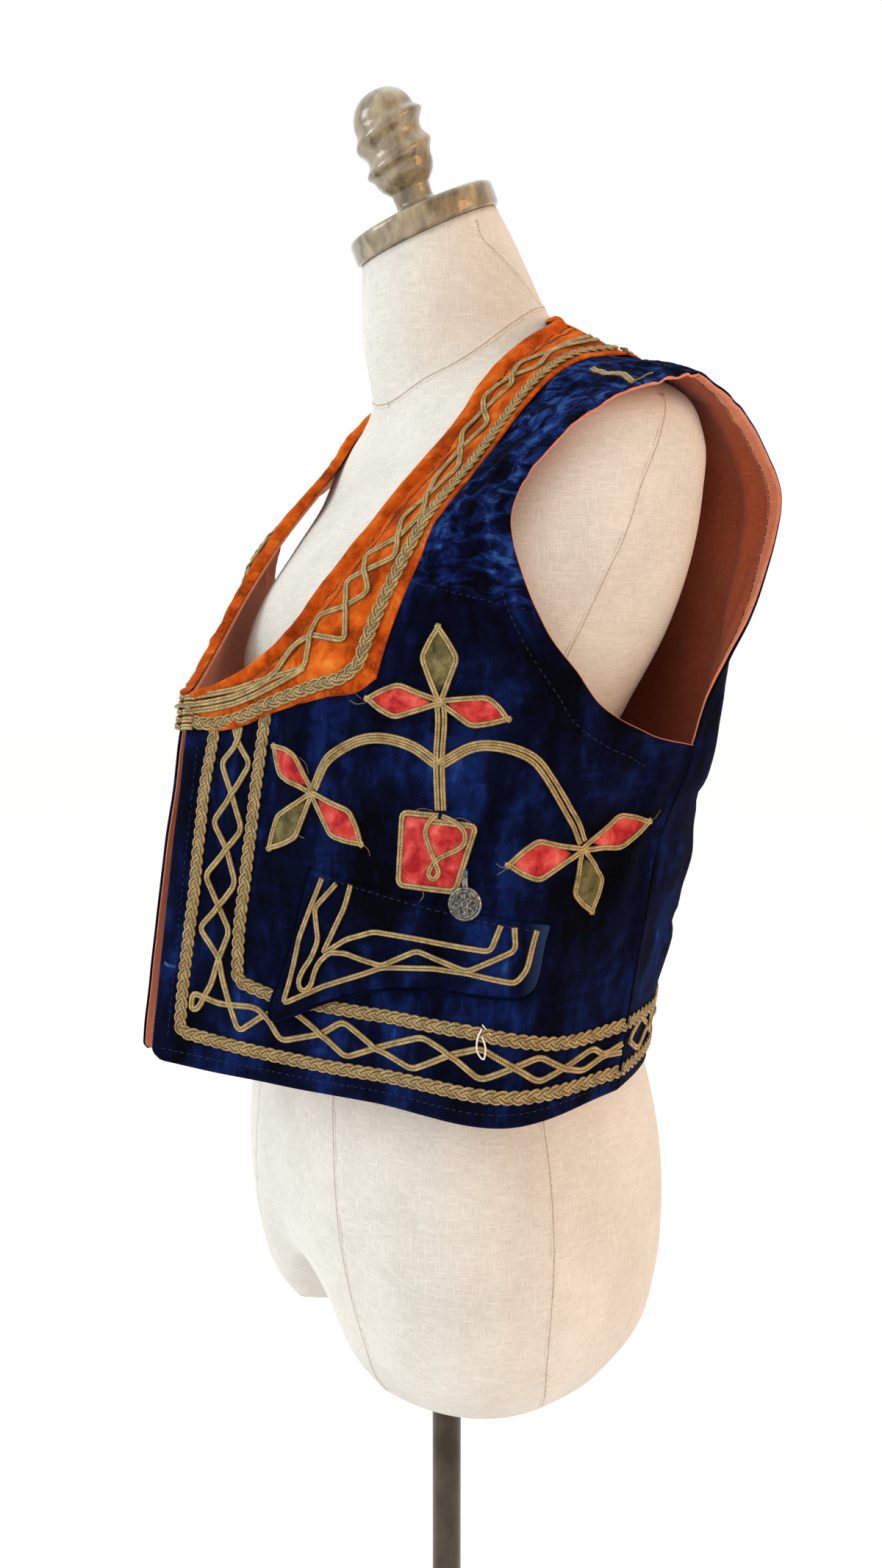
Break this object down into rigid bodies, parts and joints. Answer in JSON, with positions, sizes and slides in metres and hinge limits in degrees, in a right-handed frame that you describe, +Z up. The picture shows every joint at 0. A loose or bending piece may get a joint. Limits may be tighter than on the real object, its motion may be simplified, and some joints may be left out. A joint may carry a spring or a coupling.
{
  "type": "embroidered folk vest on dress form stand",
  "caption": "Sleeveless waist-length folk vest with braid borders, applied flowers and pocket flaps, worn by a limbless dress form on a pole stand.",
  "frame": {"origin": "centre of the stand base's underside, on the floor, on the pole's axis", "axes": "+Z up; the form faces -Y; the wearer's left is +X"},
  "size_m": [0.4015, 0.3921, 1.2913],
  "materials": {
    "canvas": "unbleached cotton canvas, plain weave",
    "navy_velvet": "crushed navy velvet",
    "orange_velvet": "burnt orange velvet",
    "lining_cotton": "salmon cotton lining",
    "gold_thread": "dull gold braid and soutache cord",
    "red_velvet": "red velvet patches",
    "olive_velvet": "olive velvet patches",
    "pewter": "antique silver finish",
    "dark_steel": "dark brushed steel",
    "antiqued_resin": "glossy antiqued olive-bronze resin"
  },
  "bodies": {
    "root": {"back": "navy_velvet", "border_cord_back": "gold_thread", "border_cord_left": "gold_thread", "border_cord_right": "gold_thread", "braid_inner_back": "gold_thread", "braid_inner_left": "gold_thread", "braid_inner_right": "gold_thread", "braid_outer_back": "gold_thread", "braid_outer_left": "gold_thread", "braid_outer_right": "gold_thread", "coin_pendant": "pewter", "collar_back": "orange_velvet", "collar_braid_back": "gold_thread", "collar_braid_left": "gold_thread", "collar_braid_right": "gold_thread", "collar_cord_back": "gold_thread", "collar_cord_left": "gold_thread", "collar_cord_right": "gold_thread", "collar_left": "orange_velvet", "collar_right": "orange_velvet", "flap_cord_left": "gold_thread", "flap_cord_right": "gold_thread", "flower_pot_left": "red_velvet", "flower_pot_right": "red_velvet", "flower_stem_left": "gold_thread", "flower_stem_right": "gold_thread", "form_body": "canvas", "front_hook": "gold_thread", "front_left": "navy_velvet", "front_right": "navy_velvet", "leaf_inner_high_left": "red_velvet", "leaf_inner_high_right": "red_velvet", "leaf_inner_low_left": "olive_velvet", "leaf_inner_low_right": "olive_velvet", "leaf_inner_side_left": "red_velvet", "leaf_inner_side_right": "red_velvet", "leaf_outer_high_left": "red_velvet", "leaf_outer_high_right": "red_velvet", "leaf_outer_low_left": "olive_velvet", "leaf_outer_low_right": "olive_velvet", "leaf_outer_side_left": "red_velvet", "leaf_outer_side_right": "red_velvet", "leaf_top_left": "olive_velvet", "leaf_top_right": "olive_velvet", "leaf_upper_inner_left": "red_velvet", "leaf_upper_inner_right": "red_velvet", "leaf_upper_outer_left": "red_velvet", "leaf_upper_outer_right": "red_velvet", "lining_back": "lining_cotton", "lining_front_left": "lining_cotton", "lining_front_right": "lining_cotton", "neck_cap": "antiqued_resin", "neck_finial": "antiqued_resin", "pocket_flap_left": "navy_velvet", "pocket_flap_right": "navy_velvet", "shoulder_bar_left": "gold_thread", "shoulder_bar_right": "gold_thread", "stand_base": "dark_steel", "stand_pole": "dark_steel"}
  },
  "joints": []
}
